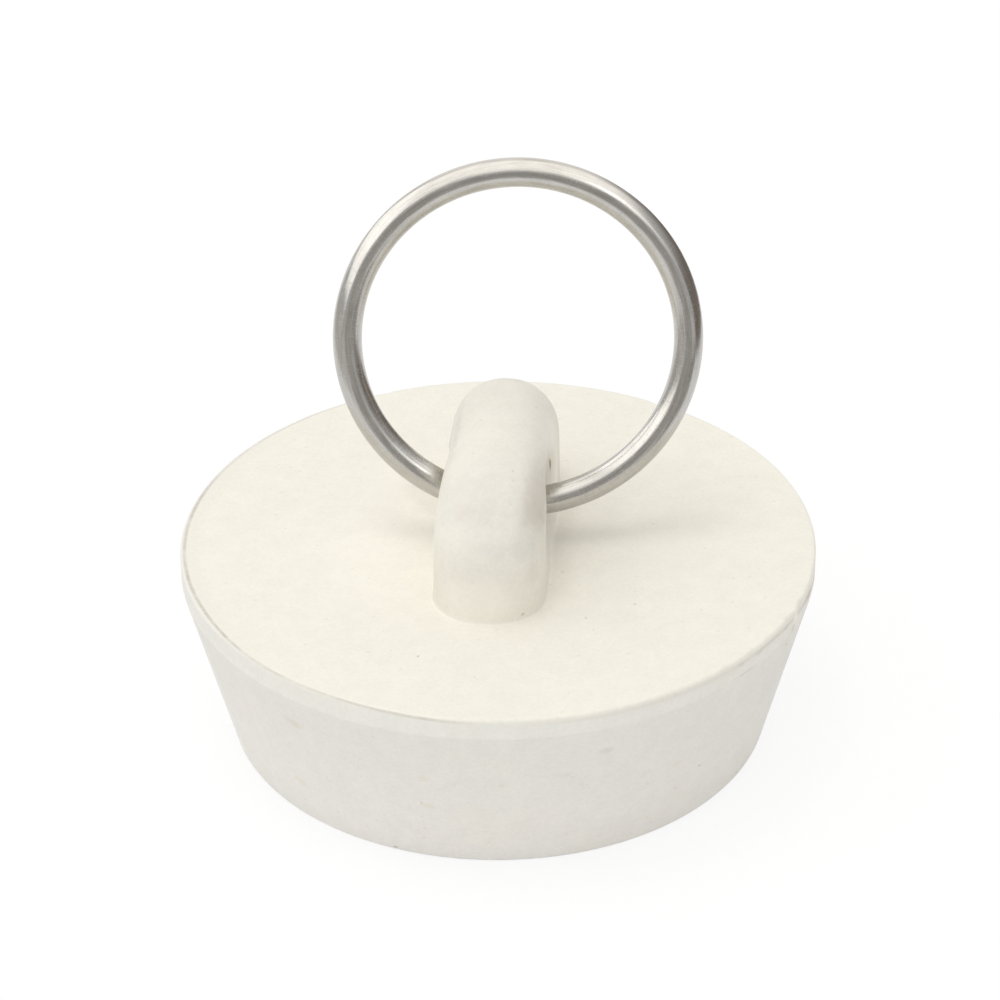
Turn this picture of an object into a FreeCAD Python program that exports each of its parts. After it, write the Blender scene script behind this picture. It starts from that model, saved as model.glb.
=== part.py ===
import FreeCAD, Part
import Sketcher
import math
import os

# A rubber drain stopper with a wire pull ring, in millimetres and degrees.
# The origin is the centre of the underside, +Z is up, the bail runs along Y and its eye along X.

SIZES = [
    # The plug: flat top, short straight rim, tapered wall
    ("top_diameter", 44.45),
    ("bottom_diameter", 38.1),
    ("plug_height", 13.85),
    ("rim_height", 1.55),
    ("rim_edge_break", 0.2),
    ("foot_edge_break", 0.3),
    # The cored recess in the underside
    ("wall_thickness", 5.05),
    ("roof_thickness", 6.35),
    ("recess_draft", 11.0),
    ("recess_corner_break", 0.8),
    # The bail: a loaf on the plug's top, with edges rounded almost to a half circle
    ("bail_length", 21.94),
    ("bail_width", 7.6),
    ("bail_height", 8.89),
    ("bail_shoulder_radius", 5.45),
    ("bail_rounding_share", 0.47),
    # The eye: a hole through the bail with a flared mouth on each side, loose round the wire, which lies
    # low in its throat
    ("eye_sill_height", 0.3),
    ("eye_mouth_diameter", 6.0),
    ("eye_throat_length", 1.8),
    ("eye_clearance", 0.5),
    ("wire_seat_gap", 0.3),
    # The pull ring: round wire, butted in the eye, leaning back, a little askew and to one side
    ("ring_outer_diameter", 25.4),
    ("wire_diameter", 2.0),
    ("ring_seam_gap", 0.15),
    ("ring_lean_angle", 13.8),
    ("ring_yaw", 5.2),
    ("ring_side_shift", 1.5),
    # Cuts run past the faces that they leave
    ("overrun", 1.0),
]

# What follows from the sizes
RECESS_DEPTH = "(Sizes.plug_height - Sizes.roof_thickness)"
RECESS_MOUTH_RADIUS = "(Sizes.bottom_diameter / 2 - Sizes.wall_thickness)"
RECESS_ROOF_RADIUS = f"({RECESS_MOUTH_RADIUS} - {RECESS_DEPTH} * tan(Sizes.recess_draft * 1 deg))"
BAIL_ROUNDING = "Sizes.bail_rounding_share * Sizes.bail_width"
EYE_HEIGHT = "(Sizes.plug_height + Sizes.eye_sill_height + Sizes.eye_mouth_diameter / 2)"
EYE_THROAT_RADIUS = "(Sizes.wire_diameter / 2 + Sizes.eye_clearance)"
RING_RADIUS = "((Sizes.ring_outer_diameter - Sizes.wire_diameter) / 2)"
RING_RISE = f"sqrt({RING_RADIUS}^2 - Sizes.ring_side_shift^2)"
RING_SWEEP = f"360 deg - Sizes.ring_seam_gap / {RING_RADIUS} * 1 rad"
RING_TURN = "rotationz(Sizes.ring_yaw) * rotationx(-Sizes.ring_lean_angle)"
RING_STANCE = f"placement(vector(0; 0; {EYE_HEIGHT}); {RING_TURN})"
RING_DROP = "(Sizes.eye_clearance - Sizes.wire_seat_gap)"
RING_OFFSET = f"placement(vector(Sizes.ring_side_shift; 0; {RING_RISE} - {RING_DROP}); rotationx(0))"

# The names that a sketch has for its own origin and axes
ORIGIN = (-1, 1)
LEVEL_AXIS = ORIGIN[0]
UPRIGHT_AXIS = LEVEL_AXIS - 1

doc = FreeCAD.newDocument("drain_stopper")
sheet = doc.addObject("Spreadsheet::Sheet", "Sizes")
for row, (alias, number) in enumerate(SIZES, start=1):
    sheet.set(f"A{row}", alias)
    sheet.set(f"B{row}", str(number))
    sheet.setAlias(f"B{row}", alias)
doc.recompute()


def value(expression):
    """What an expression on the sheet comes to."""
    return float(sheet.evalExpression(expression))


def point(across, up):
    """A point in a sketch's own plane."""
    return FreeCAD.Vector(across, up, 0)


def new_body(label):
    """An empty body, which becomes one piece."""
    body = doc.addObject("PartDesign::Body", label)
    body.Label = label
    return body


def new_sketch(body, name, plane):
    """A sketch on one of the body's own origin planes."""
    sketch = body.newObject("Sketcher::SketchObject", name)
    support = next(item for item in body.Origin.OriginFeatures if item.Role == plane)
    sketch.AttachmentSupport = (support, [""])
    sketch.MapMode = "FlatFace"
    return sketch


def tie(sketch, kind, *places):
    """A geometric constraint."""
    sketch.addConstraint(Sketcher.Constraint(kind, *places))


def drive(sketch, name, expression, kind, *places):
    """A named dimension that follows the sheet."""
    index = sketch.addConstraint(Sketcher.Constraint(kind, *places, value(expression)))
    sketch.renameConstraint(index, name)
    sketch.setExpression(f"Constraints.{name}", expression)


def draw_chain(sketch, corners):
    """A closed chain of straight lines from corner to corner."""
    count = len(corners)
    for index, corner in enumerate(corners):
        sketch.addGeometry(Part.LineSegment(corner, corners[(index + 1) % count]))
    for index in range(count):
        tie(sketch, "Coincident", index, 2, (index + 1) % count, 1)


def turn(body, kind, name, sketch, axis):
    """A sketch turned about one of its axes, added to the body or cut from it."""
    feature = body.newObject(kind, name)
    feature.Profile = sketch
    feature.ReferenceAxis = (sketch, [axis])
    return feature


def same(first, second):
    """Whether two lengths are equal."""
    return abs(first - second) < FreeCAD.Base.Precision.confusion()


def level_circle(radius, height):
    """A test for the level circle of this radius at this height."""
    def picks(edge):
        is_round = isinstance(edge.Curve, Part.Circle)
        return is_round and same(edge.Curve.Radius, radius) and same(edge.Curve.Center.z, height)
    return picks


def dress_edges(body, kind, name, picks):
    """A fillet or a chamfer on those edges of the body so far that the test picks."""
    doc.recompute()
    base = body.Tip
    dressing = body.newObject(kind, name)
    dressing.Base = (base, [f"Edge{n}" for n, edge in enumerate(base.Shape.Edges, start=1) if picks(edge)])
    return dressing


def break_edge(body, name, radius, height, size):
    """A small chamfer on a level circle of the body."""
    chamfer = dress_edges(body, "PartDesign::Chamfer", name, level_circle(radius, height))
    chamfer.setExpression("Size", size)


def add_plug(body):
    """The turned outside: underside, taper, rim band and flat top."""
    bottom = value("Sizes.bottom_diameter / 2")
    top = value("Sizes.top_diameter / 2")
    height = value("Sizes.plug_height")
    rim_foot = value("Sizes.plug_height - Sizes.rim_height")
    sketch = new_sketch(body, "plug_profile", "XZ_Plane")
    wall_corners = [point(bottom, 0), point(top, rim_foot), point(top, height)]
    draw_chain(sketch, [point(0, 0), *wall_corners, point(0, height)])
    underside, _taper, rim, roof, axis = range(5)
    tie(sketch, "Coincident", underside, 1, *ORIGIN)
    for line in (underside, roof):
        tie(sketch, "Horizontal", line)
    for line in (rim, axis):
        tie(sketch, "Vertical", line)
    drive(sketch, "bottom_radius", "Sizes.bottom_diameter / 2", "DistanceX", underside, 1, underside, 2)
    drive(sketch, "top_radius", "Sizes.top_diameter / 2", "DistanceX", roof, 2, roof, 1)
    drive(sketch, "rim_height", "Sizes.rim_height", "DistanceY", rim, 1, rim, 2)
    drive(sketch, "plug_height", "Sizes.plug_height", "DistanceY", axis, 2, axis, 1)
    turn(body, "PartDesign::Revolution", "plug", sketch, "V_Axis")
    break_edge(body, "rim_edge", top, height, "Sizes.rim_edge_break")
    break_edge(body, "foot_edge", bottom, 0, "Sizes.foot_edge_break")


def add_recess(body):
    """The cored hollow in the underside, drafted towards its roof."""
    mouth = value(RECESS_MOUTH_RADIUS)
    roof = value(RECESS_ROOF_RADIUS)
    depth = value(RECESS_DEPTH)
    sketch = new_sketch(body, "recess_profile", "XZ_Plane")
    draw_chain(sketch, [point(0, 0), point(mouth, 0), point(roof, depth), point(0, depth)])
    opening, _wall, ceiling, axis = range(4)
    tie(sketch, "Coincident", opening, 1, *ORIGIN)
    for line in (opening, ceiling):
        tie(sketch, "Horizontal", line)
    tie(sketch, "Vertical", axis)
    drive(sketch, "mouth_radius", RECESS_MOUTH_RADIUS, "DistanceX", opening, 1, opening, 2)
    drive(sketch, "roof_radius", RECESS_ROOF_RADIUS, "DistanceX", ceiling, 2, ceiling, 1)
    drive(sketch, "depth", RECESS_DEPTH, "DistanceY", axis, 2, axis, 1)
    turn(body, "PartDesign::Groove", "recess", sketch, "V_Axis")
    break_edge(body, "recess_corner", roof, depth, "Sizes.recess_corner_break")


def add_bail(body):
    """The loaf on the plug's top: its side profile and rounded edges."""
    end = value("Sizes.bail_length / 2")
    base = value("Sizes.plug_height")
    crown = value("Sizes.plug_height + Sizes.bail_height")
    radius = value("Sizes.bail_shoulder_radius")
    spring = crown - radius
    outward = FreeCAD.Vector(0, 0, 1)
    quarter = math.pi / 2
    front_circle = Part.Circle(point(radius - end, spring), outward, radius)
    back_circle = Part.Circle(point(end - radius, spring), outward, radius)
    sketch = new_sketch(body, "bail_profile", "YZ_Plane")
    front, front_shoulder, ridge, back_shoulder, back, foot = sketch.addGeometry([
        Part.LineSegment(point(-end, base), point(-end, spring)),
        Part.ArcOfCircle(front_circle, quarter, 2 * quarter),
        Part.LineSegment(point(radius - end, crown), point(end - radius, crown)),
        Part.ArcOfCircle(back_circle, 0, quarter),
        Part.LineSegment(point(end, spring), point(end, base)),
        Part.LineSegment(point(end, base), point(-end, base)),
    ])
    tie(sketch, "Tangent", front, 2, front_shoulder, 2)
    tie(sketch, "Tangent", front_shoulder, 1, ridge, 1)
    tie(sketch, "Tangent", ridge, 2, back_shoulder, 2)
    tie(sketch, "Tangent", back_shoulder, 1, back, 1)
    tie(sketch, "Coincident", back, 2, foot, 1)
    tie(sketch, "Coincident", foot, 2, front, 1)
    tie(sketch, "Vertical", front)
    tie(sketch, "Vertical", back)
    tie(sketch, "Horizontal", ridge)
    tie(sketch, "Equal", front_shoulder, back_shoulder)
    tie(sketch, "Symmetric", front, 1, back, 2, UPRIGHT_AXIS)
    drive(sketch, "shoulder", "Sizes.bail_shoulder_radius", "Radius", front_shoulder)
    drive(sketch, "length", "Sizes.bail_length", "DistanceX", front, 1, back, 2)
    drive(sketch, "base", "Sizes.plug_height", "DistanceY", *ORIGIN, front, 1)
    drive(sketch, "height", "Sizes.bail_height", "DistanceY", front, 1, front_shoulder, 1)

    pad = body.newObject("PartDesign::Pad", "bail")
    pad.Profile = sketch
    pad.SideType = "Symmetric"
    pad.setExpression("Length", "Sizes.bail_width")

    def bounds_a_flank(edge):
        rises = edge.BoundBox.ZMax > base and not same(edge.BoundBox.ZMax, base)
        return rises and not same(edge.CenterOfMass.x, 0)

    fillet = dress_edges(body, "PartDesign::Fillet", "bail_rounding", bounds_a_flank)
    fillet.setExpression("Radius", BAIL_ROUNDING)


def add_eye(body):
    """The eye, turned about its own level axis: a straight throat between two flared mouths."""
    throat = value("Sizes.eye_throat_length / 2")
    flank = value("Sizes.bail_width / 2")
    end = value("Sizes.bail_width / 2 + Sizes.overrun")
    narrow = value(EYE_THROAT_RADIUS)
    wide = value("Sizes.eye_mouth_diameter / 2")
    sketch = new_sketch(body, "eye_profile", "XZ_Plane")
    sketch.setExpression("AttachmentOffset.Base.y", EYE_HEIGHT)
    left_side = [point(-end, wide), point(-flank, wide), point(-throat, narrow)]
    right_side = [point(throat, narrow), point(flank, wide), point(end, wide)]
    draw_chain(sketch, [point(-end, 0), *left_side, *right_side, point(end, 0)])
    left_end, left_run, left_flare, bore, right_flare, right_run, right_end, axis = range(8)
    tie(sketch, "PointOnObject", axis, 1, LEVEL_AXIS)
    for line in (left_run, axis):
        tie(sketch, "Horizontal", line)
    for line in (left_end, right_end):
        tie(sketch, "Vertical", line)
    for left, right in ((left_run, right_run), (left_flare, right_flare), (bore, bore)):
        tie(sketch, "Symmetric", left, 1, right, 2, UPRIGHT_AXIS)
    drive(sketch, "throat_length", "Sizes.eye_throat_length", "DistanceX", bore, 1, bore, 2)
    drive(sketch, "width", "Sizes.bail_width", "DistanceX", left_flare, 1, right_flare, 2)
    drive(sketch, "overrun", "Sizes.overrun", "DistanceX", right_run, 1, right_run, 2)
    drive(sketch, "throat_radius", EYE_THROAT_RADIUS, "DistanceY", *ORIGIN, bore, 1)
    drive(sketch, "mouth_radius", "Sizes.eye_mouth_diameter / 2", "DistanceY", *ORIGIN, left_flare, 1)
    turn(body, "PartDesign::Groove", "eye", sketch, "H_Axis")


def make_stopper():
    """The rubber moulding: the plug, the recess under it and the bail with its eye."""
    body = new_body("rubber_stopper")
    add_plug(body)
    add_recess(body)
    add_bail(body)
    add_eye(body)
    return body


def make_ring():
    """The wire ring, turned upright about its own centre, then set in the eye."""
    body = new_body("pull_ring")
    wire_radius = value("Sizes.wire_diameter / 2")
    wire_centre = point(0, value(RING_RADIUS))
    sketch = new_sketch(body, "wire_section", "YZ_Plane")
    wire = sketch.addGeometry(Part.Circle(wire_centre, FreeCAD.Vector(0, 0, 1), wire_radius))
    tie(sketch, "PointOnObject", wire, 3, UPRIGHT_AXIS)
    drive(sketch, "ring_radius", RING_RADIUS, "DistanceY", *ORIGIN, wire, 3)
    drive(sketch, "wire_diameter", "Sizes.wire_diameter", "Diameter", wire)
    ring = turn(body, "PartDesign::Revolution", "ring", sketch, "H_Axis")
    ring.Midplane = True
    ring.setExpression("Angle", RING_SWEEP)
    body.setExpression("Placement", f"{RING_STANCE} * {RING_OFFSET}")
    return body


pieces = [make_stopper(), make_ring()]
doc.recompute()

for item in doc.Objects:
    if {"Invalid", "Error"} & set(item.State):
        raise RuntimeError(f"{item.Label} failed: {item.State}")
for piece in pieces:
    if piece.Shape.isNull() or not piece.Shape.isValid():
        raise RuntimeError(f"{piece.Label} has no valid shape")

os.makedirs("parts", exist_ok=True)
for piece in pieces:
    piece.Shape.exportStep(f"parts/{piece.Label}.step")
    print(f"{piece.Label}: {len(piece.Shape.Solids)} solid, {piece.Shape.Volume:.1f} cubic mm")
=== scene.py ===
"""A white rubber drain stopper with a moulded bail and a steel pull ring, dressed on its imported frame."""
import logging
import math
from dataclasses import dataclass, field
from enum import Enum
from functools import reduce
from typing import Callable, Sequence

import bmesh
import bpy
import numpy as np
from mathutils import Matrix, Quaternion, Vector


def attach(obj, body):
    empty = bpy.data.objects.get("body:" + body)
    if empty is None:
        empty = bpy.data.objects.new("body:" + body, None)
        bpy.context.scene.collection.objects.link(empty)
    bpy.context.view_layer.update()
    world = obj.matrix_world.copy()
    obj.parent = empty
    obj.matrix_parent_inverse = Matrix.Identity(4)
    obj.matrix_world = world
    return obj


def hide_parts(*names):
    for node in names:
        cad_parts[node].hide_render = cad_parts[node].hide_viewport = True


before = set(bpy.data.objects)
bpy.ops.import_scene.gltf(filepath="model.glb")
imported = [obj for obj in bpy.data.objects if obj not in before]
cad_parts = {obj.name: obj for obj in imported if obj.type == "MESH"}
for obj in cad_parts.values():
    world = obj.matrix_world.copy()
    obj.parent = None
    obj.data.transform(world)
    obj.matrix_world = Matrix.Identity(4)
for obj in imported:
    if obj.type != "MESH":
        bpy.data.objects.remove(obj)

log = logging.getLogger("drain_stopper")

Place = tuple[float, float, float]
Colour = tuple[float, float, float]
Socket = bpy.types.NodeSocket

MM = 0.001
# The stopper's main sizes in millimetres, which its pieces and its finish share.
TOP_HEIGHT = 13.85
BAND_FOOT = 12.3
RIM_RADIUS = 22.225
FOOT_RADIUS = 19.05
BAIL_HEIGHT = 8.89
EYE_HEIGHT = 17.15


class Graph:
    """A node tree with short ways to add nodes and link them."""

    # A mix node's inputs for the factor and the two colours, and its output for colours.
    MIX_INPUTS = (0, 6, 7)
    MIX_OUTPUT = 2

    def __init__(self, tree: bpy.types.NodeTree) -> None:
        """Takes a tree and empties it."""
        self.tree = tree
        tree.nodes.clear()

    def add(self, kind: str, inputs: dict[str, object] | None = None, **settings: object) -> bpy.types.Node:
        """Adds a node.

        Args:
            kind: The node's type.
            inputs: A value or a socket for each named input.
            settings: The node's own properties.

        Returns:
            The new node.
        """
        node = self.tree.nodes.new(kind)
        for name, setting in settings.items():
            setattr(node, name, setting)
        for name, given in (inputs or {}).items():
            self.feed(node.inputs[name], given)
        return node

    def feed(self, socket: Socket, given: object) -> None:
        """Links a socket to an input, or sets the input's value.

        Args:
            socket: The input.
            given: The socket to link to it, or its value.
        """
        if isinstance(given, Socket):
            self.tree.links.new(given, socket)
        else:
            socket.default_value = given

    def _sum(self, kind: str, operation: str, values: Sequence[object]) -> bpy.types.Node:
        """Adds a node that works out one sum.

        Args:
            kind: The node's type.
            operation: The sum's name.
            values: A value or a socket for each input, in order.

        Returns:
            The new node.
        """
        node = self.add(kind, operation=operation)
        for socket, given in zip(node.inputs, values):
            self.feed(socket, given)
        return node

    def maths(self, operation: str, *values: object) -> Socket:
        """The result of one sum on numbers."""
        return self._sum("ShaderNodeMath", operation, values).outputs[0]

    def vector(self, operation: str, *values: object, output: str = "Vector") -> Socket:
        """The result of one sum on vectors."""
        return self._sum("ShaderNodeVectorMath", operation, values).outputs[output]

    def product(self, *values: object) -> Socket:
        """The product of numbers."""
        return reduce(lambda first, second: self.maths("MULTIPLY", first, second), values)

    def scaled(self, vector: Socket, scale: float) -> Socket:
        """A vector times a number."""
        return self.vector("MULTIPLY", vector, (scale, scale, scale))

    def step(self, value: Socket, start: float, end: float, low: float = 0.0, high: float = 1.0) -> Socket:
        """A smooth step of a value, from low at start to high at end."""
        inputs = {"Value": value, "From Min": start, "From Max": end, "To Min": low, "To Max": high}
        return self.add("ShaderNodeMapRange", inputs, interpolation_type="SMOOTHSTEP").outputs[0]

    def noise(self, place: Socket, scale: float, detail: float = 2.0, roughness: float = 0.5) -> Socket:
        """Smooth noise between 0 and 1."""
        inputs = {"Vector": place, "Scale": scale, "Detail": detail, "Roughness": roughness}
        return self.add("ShaderNodeTexNoise", inputs).outputs["Fac"]

    def mix(self, factor: object, first: object, second: object, blend: str = "MIX") -> Socket:
        """Blends two colours.

        Args:
            factor: How far the blend goes from the first colour to the second.
            first: The colour underneath, or its socket.
            second: The colour on top, or its socket.
            blend: The blend's name.

        Returns:
            The blended colour.
        """
        node = self.add("ShaderNodeMix", data_type="RGBA", blend_type=blend, clamp_result=False)
        for index, given in zip(self.MIX_INPUTS, (factor, first, second)):
            wanted = (*given, 1.0) if isinstance(given, tuple) else given
            self.feed(node.inputs[index], wanted)
        return node.outputs[self.MIX_OUTPUT]

    def grey(self, value: Socket) -> Socket:
        """A number as a grey."""
        return self.add("ShaderNodeCombineColor", {"Red": value, "Green": value, "Blue": value}).outputs[0]

    def shaded(self, colour: Socket, value: Socket) -> Socket:
        """A colour, lighter or darker by a number."""
        return self.mix(1.0, colour, self.grey(value), "MULTIPLY")

    def bump(self, height: Socket, strength: float, depth: float, under: Socket | None = None) -> Socket:
        """Tilts the surface as if it had a relief.

        Args:
            height: The relief's height, from 0 to 1.
            strength: How much of it shows.
            depth: How deep it is, in millimetres.
            under: A relief that this one lies on, if there is one.

        Returns:
            The tilted surface's normal.
        """
        inputs = {"Height": height, "Strength": strength, "Distance": depth * MM}
        if under is not None:
            inputs["Normal"] = under
        return self.add("ShaderNodeBump", inputs).outputs[0]

    def show(self, shader: bpy.types.Node, output: str = "ShaderNodeOutputMaterial") -> None:
        """Makes a shader the tree's surface."""
        self.add(output, {"Surface": shader.outputs[0]})


def empty_material(name: str) -> tuple[bpy.types.Material, Graph]:
    """Makes a material with nothing in it.

    Args:
        name: The material's name.

    Returns:
        The material, and the graph of its tree.
    """
    material = bpy.data.materials.new(name)
    material.use_nodes = True
    return material, Graph(material.node_tree)


@dataclass(frozen=True)
class Mottle:
    """Soft patches: noise, stepped from a low level to a high one between two of its own values."""

    scale: float
    detail: float
    roughness: float
    start: float
    end: float
    low: float = 0.0
    high: float = 1.0

    def over(self, graph: Graph, place: Socket) -> Socket:
        """The patches' level at a place."""
        noise = graph.noise(place, self.scale, self.detail, self.roughness)
        return graph.step(noise, self.start, self.end, self.low, self.high)


@dataclass(frozen=True)
class Relief:
    """An uneven surface: its noise, how much of it shows and how deep it is (mm)."""

    scale: float
    detail: float
    roughness: float
    strength: float
    depth: float

    def over(self, graph: Graph, place: Socket, under: Socket | None = None) -> Socket:
        """The tilted surface's normal at a place."""
        noise = graph.noise(place, self.scale, self.detail, self.roughness)
        return graph.bump(noise, self.strength, self.depth, under)


class MarkKind(Enum):
    """What a mark on the rubber is, with its colour; some kinds also stand for painted light and shade."""

    # Brown grime; also the painted shadow in the slit of the bail's eye.
    BROWN_GRIME_AND_SHADOW = (0.30, 0.22, 0.15)
    # Grey smudges; also painted shade under the rim's nub and along the rim band.
    GREY_SMUDGE_AND_SHADE = (0.47, 0.45, 0.44)
    YELLOW_STAIN = (0.72, 0.64, 0.42)
    PINK_STAIN = (0.74, 0.62, 0.52)
    DARK_SPECK = (0.20, 0.17, 0.14)
    # Painted shade on the bail's right flank, darker towards its right edge, with the smudges on it.
    TAUPE_SHADE_AND_SMUDGE = (0.50, 0.44, 0.39)
    # Painted light: lighter than the rubber itself, laid on a bump and into shaded places.
    PAINTED_LIGHT = (0.97, 0.94, 0.86)


@dataclass(frozen=True)
class Mark:
    """One mark on the rubber, a stain, smudge or speck, or a patch of painted light or shade: its place and
    reach (mm), how strong it is and how ragged.
    """

    kind: MarkKind
    place: Place
    reach: Place
    strength: float
    ragged: float = 1.1


@dataclass(frozen=True)
class Speckle:
    """Fine specks in a share of cells: cells to the mm, the share left clear, the size and the strength."""

    kind: MarkKind
    cells: float
    clear_share: float
    size: float
    strength: float


@dataclass(frozen=True)
class EdgeGrimeAndShade:
    """Grime along the line round the top edge, and painted shade beside it, between two bearings in degrees
    (0 is the front, 90 the right).

    It reaches half its width (mm) to each side of the line, and fades out over some degrees at its ends.
    """

    kind: MarkKind
    start: float
    end: float
    strength: float
    half_width: float = 0.19
    fade: float = 14.0


def on_side(bearing: float, height: float) -> Place:
    """Finds a place on the plug's side, on the taper or on the rim band above it.

    Args:
        bearing: The bearing in degrees (0 is the front, 90 the right).
        height: The height in millimetres.

    Returns:
        The place in millimetres.
    """
    radius = FOOT_RADIUS + (RIM_RADIUS - FOOT_RADIUS) * min(1.0, height / BAND_FOOT)
    turn = math.radians(bearing)
    return radius * math.sin(turn), -radius * math.cos(turn), height


SIDE_MARKS = (
    Mark(MarkKind.DARK_SPECK, on_side(68.0, 11.43), (0.16, 0.16, 0.12), 0.75),
    Mark(MarkKind.GREY_SMUDGE_AND_SHADE, on_side(24.2, 10.16), (1.0, 0.8, 0.35), 0.22),
    Mark(MarkKind.GREY_SMUDGE_AND_SHADE, on_side(16.5, 8.4), (0.8, 0.7, 0.3), 0.10),
    Mark(MarkKind.YELLOW_STAIN, on_side(-33.8, 9.8), (0.8, 0.8, 0.45), 0.30),
    Mark(MarkKind.YELLOW_STAIN, on_side(-37.6, 3.7), (0.7, 0.7, 0.5), 0.22),
    Mark(MarkKind.YELLOW_STAIN, on_side(-8.7, 7.93), (0.6, 0.6, 0.4), 0.20),
    Mark(MarkKind.YELLOW_STAIN, on_side(-8.5, 5.3), (0.6, 0.6, 0.4), 0.20),
    Mark(MarkKind.YELLOW_STAIN, on_side(40.3, 6.52), (0.6, 0.6, 0.4), 0.22),
    Mark(MarkKind.GREY_SMUDGE_AND_SHADE, on_side(-35.0, 10.0), (1.3, 1.0, 0.5), 0.12),
    Mark(MarkKind.DARK_SPECK, on_side(46.8, 5.08), (0.14, 0.14, 0.12), 0.5),
    Mark(MarkKind.DARK_SPECK, on_side(-16.7, 0.34), (0.22, 0.22, 0.12), 0.5),
    Mark(MarkKind.GREY_SMUDGE_AND_SHADE, on_side(53.0, 12.45), (1.6, 1.6, 0.14), 0.30),
    # Painted shade under the nub that sticks out of the rim band.
    Mark(MarkKind.GREY_SMUDGE_AND_SHADE, on_side(69.5, 12.5), (0.45, 0.5, 0.25), 0.35),
    Mark(MarkKind.GREY_SMUDGE_AND_SHADE, on_side(72.0, 13.45), (0.3, 0.35, 0.2), 0.25),
    Mark(MarkKind.BROWN_GRIME_AND_SHADOW, on_side(79.5, 12.9), (0.4, 1.0, 0.3), 0.25),
    Mark(MarkKind.GREY_SMUDGE_AND_SHADE, on_side(66.5, 13.3), (0.35, 0.45, 0.2), 0.28),
    Mark(MarkKind.GREY_SMUDGE_AND_SHADE, on_side(57.0, 13.25), (0.6, 0.6, 0.2), 0.20),
    Mark(MarkKind.GREY_SMUDGE_AND_SHADE, on_side(52.0, 13.35), (0.5, 0.5, 0.2), 0.18),
    Mark(MarkKind.BROWN_GRIME_AND_SHADOW, on_side(78.0, 13.1), (0.5, 1.5, 0.65), 0.16),
    # Painted highlight on the nub that sticks out of the rim band.
    Mark(MarkKind.PAINTED_LIGHT, on_side(70.5, 13.15), (0.45, 0.5, 0.45), 0.95),
)

TOP_MARKS = (
    Mark(MarkKind.DARK_SPECK, (-4.03, -15.11, TOP_HEIGHT), (0.12, 0.16, 0.2), 0.4),
    Mark(MarkKind.DARK_SPECK, (6.82, -9.69, TOP_HEIGHT), (0.12, 0.14, 0.2), 0.35),
    Mark(MarkKind.DARK_SPECK, (10.04, -7.72, TOP_HEIGHT), (0.12, 0.14, 0.2), 0.35),
)

BAIL_MARKS = (
    Mark(MarkKind.GREY_SMUDGE_AND_SHADE, (-3.0, 1.8, 21.4), (0.5, 5.0, 0.8), 0.16),
    Mark(MarkKind.GREY_SMUDGE_AND_SHADE, (0.5, 7.6, 22.4), (2.0, 0.9, 0.5), 0.14),
    Mark(MarkKind.PINK_STAIN, (-1.5, -8.7, 21.3), (1.3, 1.0, 0.8), 0.22),
    Mark(MarkKind.PINK_STAIN, (0.3, -8.6, 21.7), (0.8, 0.8, 0.7), 0.14),
    Mark(MarkKind.GREY_SMUDGE_AND_SHADE, (0.8, -10.4, 19.5), (2.2, 1.0, 0.9), 0.11),
    Mark(MarkKind.GREY_SMUDGE_AND_SHADE, (-1.2, -8.2, 21.7), (5.0, 3.4, 2.2), 0.21, 0.7),
    Mark(MarkKind.GREY_SMUDGE_AND_SHADE, (2.6, -9.5, 19.3), (1.6, 1.5, 1.6), 0.18, 0.7),
    # Painted light on the bail's front near its foot.
    Mark(MarkKind.PAINTED_LIGHT, (-0.8, -10.8, 15.4), (4.0, 2.5, 2.6), 0.32, 0.5),
    # Painted light on the rubber at the back of the eye's mouth on the right.
    Mark(MarkKind.PAINTED_LIGHT, (3.6, 3.2, 18.3), (2.2, 5.0, 4.5), 0.85, 0.4),
    # Painted shade and smudges on the bail's right flank.
    Mark(MarkKind.TAUPE_SHADE_AND_SMUDGE, (3.6, -5.6, 21.0), (2.2, 6.5, 2.2), 0.45, 0.6),
    Mark(MarkKind.TAUPE_SHADE_AND_SMUDGE, (3.1, -7.4, 20.9), (1.3, 2.4, 1.6), 0.18, 0.6),
    Mark(MarkKind.TAUPE_SHADE_AND_SMUDGE, (3.7, -8.0, 19.4), (1.3, 2.2, 2.2), 0.10, 0.5),
    Mark(MarkKind.TAUPE_SHADE_AND_SMUDGE, (3.0, -9.4, 17.2), (1.2, 1.0, 1.4), 0.16, 0.5),
    Mark(MarkKind.BROWN_GRIME_AND_SHADOW, (3.6, -7.2, 19.8), (0.6, 2.0, 1.4), 0.06, 0.6),
    # Painted shadow: a dark line in the slit of the eye's mouth on the right.
    Mark(MarkKind.BROWN_GRIME_AND_SHADOW, (3.46, 2.66, 18.4), (0.09, 0.9, 1.05), 0.75, 0.25),
    # Painted shadow at the top of the eye's mouth on the right.
    Mark(MarkKind.BROWN_GRIME_AND_SHADOW, (3.5, -0.7, 19.8), (0.5, 1.5, 0.8), 0.60),
    Mark(MarkKind.GREY_SMUDGE_AND_SHADE, (-0.3, -5.0, 22.7), (4.0, 4.0, 1.4), 0.06),
    Mark(MarkKind.DARK_SPECK, (2.57, -10.17, 14.28), (0.22, 0.25, 0.18), 0.35),
    Mark(MarkKind.DARK_SPECK, (3.1, -8.95, 19.2), (0.14, 0.16, 0.14), 0.4),
)

SPECKLES = (
    Speckle(MarkKind.BROWN_GRIME_AND_SHADOW, 0.62, 0.86, 0.075, 0.30),
    Speckle(MarkKind.YELLOW_STAIN, 0.95, 0.70, 0.16, 0.30),
    Speckle(MarkKind.BROWN_GRIME_AND_SHADOW, 1.9, 0.80, 0.14, 0.12),
    Speckle(MarkKind.GREY_SMUDGE_AND_SHADE, 1.2, 0.86, 0.15, 0.20),
)

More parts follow.
